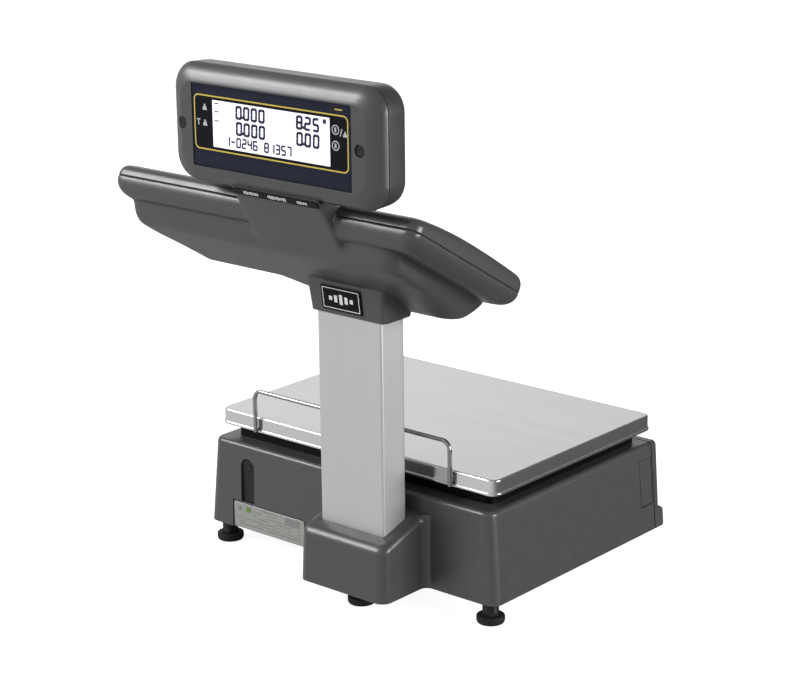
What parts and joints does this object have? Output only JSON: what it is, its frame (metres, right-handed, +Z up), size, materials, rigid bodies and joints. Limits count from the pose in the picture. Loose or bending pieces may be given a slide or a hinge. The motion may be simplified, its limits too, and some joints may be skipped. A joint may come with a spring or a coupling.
{
  "type": "label printing scale",
  "caption": "Counter-top price-computing scale with a weighing platter, built-in label printer, pole-mounted keyboard head and customer display.",
  "frame": {"origin": "centre of the scale's footprint box, on the table", "axes": "+X to the right as the customer sees it, +Y towards the operator, +Z up"},
  "size_m": [0.4132, 0.464, 0.5765],
  "materials": {
    "dark_plastic": "satin dark grey moulding with a fine texture",
    "black_plastic": "matt black",
    "black_rubber": "matt",
    "stainless": "satin top with a brighter skirt",
    "chrome": "polished wire",
    "aluminium": "silver anodised",
    "cast_metal": "as cast",
    "steel": "zinc plated",
    "plate_grey": "silver grey printed film",
    "green_board": "solder mask",
    "clear_green": "clear with a green tint",
    "grey_cable": "flat ribbon",
    "keypad_blue": "printed membrane",
    "window_glass": "tinted window",
    "lcd_white": "white backlight behind dark segments",
    "gear_plastic": "natural acetal",
    "paper": "coated label paper"
  },
  "bodies": {
    "scale": {"base_tray": "steel", "base_cover": "dark_plastic", "front_panel": "dark_plastic", "rating_plate": "plate_grey", "calibration_cover": "black_plastic", "mains_inlet": "black_plastic", "power_supply": "steel", "main_board": "green_board", "load_cell_mount": "cast_metal", "load_cell": "aluminium", "overload_stop": "steel", "platter_support": "cast_metal", "platter_pad_1": "black_rubber", "platter_pad_2": "black_rubber", "platter_pad_3": "black_rubber", "platter_pad_4": "black_rubber", "spirit_level": "clear_green", "column_bracket": "steel", "column": "aluminium", "column_cable": "grey_cable", "head_bracket": "steel", "head_lower_shell": "dark_plastic", "head_upper_shell": "dark_plastic", "keypad_overlay": "keypad_blue", "keyboard_board": "green_board", "badge_plate": "black_plastic", "capacity_strip": "black_plastic", "display_front_shell": "dark_plastic", "display_rear_shell": "dark_plastic", "customer_window": "window_glass", "customer_lcd": "lcd_white", "operator_window": "window_glass", "operator_lcd": "lcd_white", "display_board": "green_board", "screw_plug_left": "black_plastic", "screw_plug_right": "black_plastic", "printer_chassis": "steel", "stepper_motor": "steel", "door_hinge_pin": "steel"},
    "weighing_platter": {"platter": "stainless", "guard_rail": "chrome"},
    "label_door": {"printer_door": "dark_plastic", "tear_bar": "stainless"},
    "cassette_latch": {"side_latch": "dark_plastic"},
    "power_switch": {"power_rocker": "black_plastic"},
    "platen": {"platen_roller": "black_rubber", "platen_gear": "gear_plastic"},
    "idler": {"idler_gear": "gear_plastic"},
    "pinion": {"motor_pinion": "gear_plastic"},
    "thermal_head": {"print_head": "aluminium"},
    "label_supply": {"label_roll": "paper", "roll_spindle": "gear_plastic"},
    "foot_rear_left_body": {"foot_rear_left": "black_rubber"},
    "foot_rear_right_body": {"foot_rear_right": "black_rubber"},
    "foot_front_left_body": {"foot_front_left": "black_rubber"},
    "foot_front_right_body": {"foot_front_right": "black_rubber"},
    "foot_column_body": {"foot_column": "black_rubber"}
  },
  "joints": [
    {"name": "platter_lift", "type": "slide", "parent": "scale", "child": "weighing_platter", "axis": [0, 0, 1], "range_m": [0, 0.06]},
    {"name": "label_door_hinge", "type": "hinge", "parent": "scale", "child": "label_door", "pos_m": [0.1279, 0.22, 0.052], "axis": [-1, 0, 0], "range_deg": [0, 95]},
    {"name": "cassette_latch_press", "type": "slide", "parent": "scale", "child": "cassette_latch", "axis": [-1, 0, 0], "range_m": [0, 0.002], "stiffness_N_per_m": 200},
    {"name": "power_rocker_hinge", "type": "hinge", "parent": "scale", "child": "power_switch", "pos_m": [-0.2001, 0.015, 0.056], "axis": [0, 0, -1], "range_deg": [0, 16]},
    {"name": "platen_spin", "type": "hinge", "parent": "scale", "child": "platen", "pos_m": [0.1279, 0.2, 0.084], "axis": [1, 0, 0], "continuous": true},
    {"name": "idler_spin", "type": "hinge", "parent": "scale", "child": "idler", "pos_m": [0.1734, 0.18816, 0.05973], "axis": [1, 0, 0], "continuous": true},
    {"name": "motor_spin", "type": "hinge", "parent": "scale", "child": "pinion", "pos_m": [0.1734, 0.20166, 0.04365], "axis": [1, 0, 0], "continuous": true},
    {"name": "thermal_head_lift", "type": "hinge", "parent": "scale", "child": "thermal_head", "pos_m": [0.1279, 0.169, 0.1], "axis": [1, 0, 0], "range_deg": [0, 16]},
    {"name": "label_roll_spin", "type": "hinge", "parent": "scale", "child": "label_supply", "pos_m": [0.1279, 0.134, 0.062], "axis": [1, 0, 0], "continuous": true},
    {"name": "foot_rear_left_screw", "type": "slide", "parent": "scale", "child": "foot_rear_left_body", "axis": [0, 0, 1], "range_m": [-0.008, 0]},
    {"name": "foot_rear_right_screw", "type": "slide", "parent": "scale", "child": "foot_rear_right_body", "axis": [0, 0, 1], "range_m": [-0.008, 0]},
    {"name": "foot_front_left_screw", "type": "slide", "parent": "scale", "child": "foot_front_left_body", "axis": [0, 0, 1], "range_m": [-0.008, 0]},
    {"name": "foot_front_right_screw", "type": "slide", "parent": "scale", "child": "foot_front_right_body", "axis": [0, 0, 1], "range_m": [-0.008, 0]},
    {"name": "foot_column_screw", "type": "slide", "parent": "scale", "child": "foot_column_body", "axis": [0, 0, 1], "range_m": [-0.008, 0]}
  ],
  "couplings": [
    {"joint": "idler_spin", "follows": "platen_spin", "ratio": -0.8},
    {"joint": "motor_spin", "follows": "platen_spin", "ratio": 2}
  ]
}
